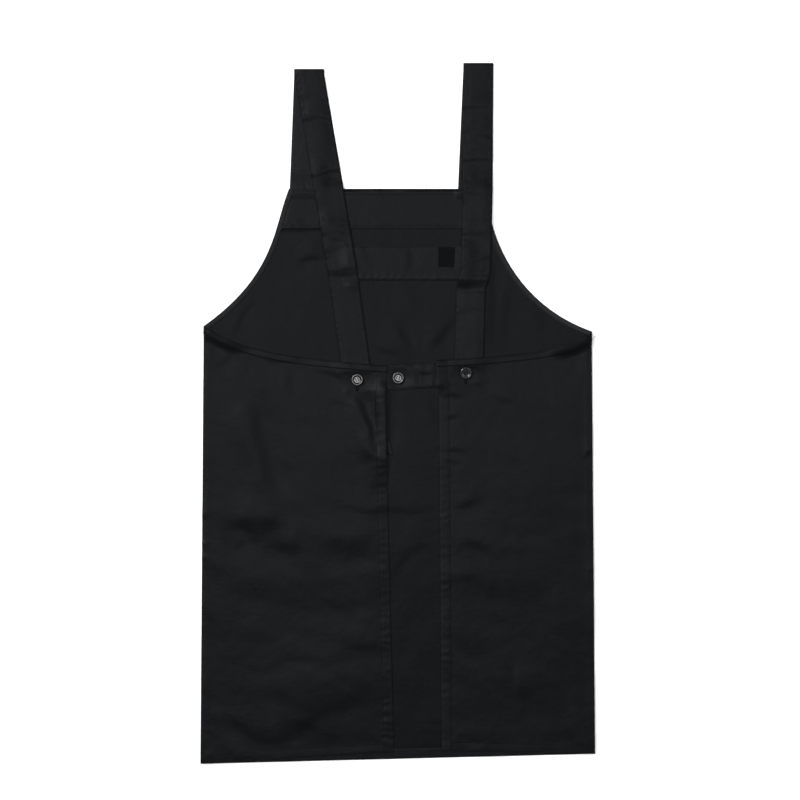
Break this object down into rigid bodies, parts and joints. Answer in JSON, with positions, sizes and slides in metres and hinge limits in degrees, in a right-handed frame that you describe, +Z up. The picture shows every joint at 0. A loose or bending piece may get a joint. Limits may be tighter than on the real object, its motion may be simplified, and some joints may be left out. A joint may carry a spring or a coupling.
{
  "type": "smock apron",
  "caption": "Smock apron laid flat, back up: bib and skirt front, wrap-over back panels, wide shoulder straps with a cross band, and a buttoned waist tab.",
  "frame": {"origin": "middle of the laid-out garment, on the surface that it lies on", "axes": "+Z up from that surface, out of the garment's back; +Y from the hem towards the shoulders; +X to the right seen from above"},
  "size_m": [0.592, 1.052, 0.0109],
  "materials": {
    "cloth": "black cotton and polyester twill with a faint sheen",
    "strap": "black twill, doubled and pressed",
    "lining": "black twill, inner side",
    "binding": "black bias binding, ribbed",
    "thread": "black polyester sewing thread",
    "button": "polished black"
  },
  "bodies": {
    "garment": {"front_panel": "cloth", "front_hem": "cloth", "pocket_left": "cloth", "pocket_right": "cloth", "bib_facing": "lining", "armhole_binding_left": "binding", "armhole_binding_right": "binding", "side_seam_left": "cloth", "side_seam_right": "cloth", "back_panel_left": "cloth", "back_panel_right": "cloth", "waist_binding_left": "binding", "waist_binding_right": "binding", "back_hem_left": "cloth", "back_hem_right": "cloth", "buttonhole_left": "thread", "buttonhole_right": "thread", "strap_left_back": "strap", "strap_right_back": "strap", "cross_band": "strap", "waist_tab": "strap", "waist_tab_lining": "lining", "button_shank_left": "thread", "button_shank_middle": "thread", "button_shank_right": "thread"},
    "flap_left": {"back_flap_left": "cloth", "flap_placket_left": "lining", "flap_hem_left": "cloth"},
    "flap_right": {"back_flap_right": "cloth", "flap_placket_right": "lining", "flap_hem_right": "cloth"},
    "loop_left": {"strap_left_front": "strap", "strap_left_upper": "strap", "strap_left_shoulder": "strap"},
    "loop_right": {"strap_right_front": "strap", "strap_right_upper": "strap", "strap_right_shoulder": "strap"},
    "button_left": {"button_left": "button", "button_thread_left": "thread"},
    "button_middle": {"button_middle": "button", "button_thread_middle": "thread"},
    "button_right": {"button_right": "button", "button_thread_right": "thread"}
  },
  "joints": [
    {"name": "loop_left_fold", "type": "hinge", "parent": "garment", "child": "loop_left", "pos_m": [-0.1215, 0.33715, 0.0044], "axis": [1, 0, 0], "range_deg": [0, 150]},
    {"name": "loop_right_fold", "type": "hinge", "parent": "garment", "child": "loop_right", "pos_m": [0.1165, 0.33715, 0.0044], "axis": [1, 0, 0], "range_deg": [0, 150]},
    {"name": "flap_left_fold", "type": "hinge", "parent": "garment", "child": "flap_left", "pos_m": [-0.019, 0.02, 0.0052], "axis": [-0.3702, -0.9289, 0], "range_deg": [0, 150]},
    {"name": "flap_right_fold", "type": "hinge", "parent": "garment", "child": "flap_right", "pos_m": [0.062, 0.02, 0.0052], "axis": [-0.3106, 0.9505, 0], "range_deg": [0, 150]},
    {"name": "button_left_tilt", "type": "hinge", "parent": "garment", "child": "button_left", "pos_m": [-0.0607, 0.0502, 0.00767], "axis": [1, 0, 0], "range_deg": [-12, 12], "stiffness_Nm_per_rad": 0.002},
    {"name": "button_middle_tilt", "type": "hinge", "parent": "garment", "child": "button_middle", "pos_m": [0.0007, 0.053, 0.00527], "axis": [1, 0, 0], "range_deg": [-12, 12], "stiffness_Nm_per_rad": 0.002},
    {"name": "button_right_tilt", "type": "hinge", "parent": "garment", "child": "button_right", "pos_m": [0.1021, 0.0604, 0.00767], "axis": [1, 0, 0], "range_deg": [-12, 12], "stiffness_Nm_per_rad": 0.002}
  ]
}
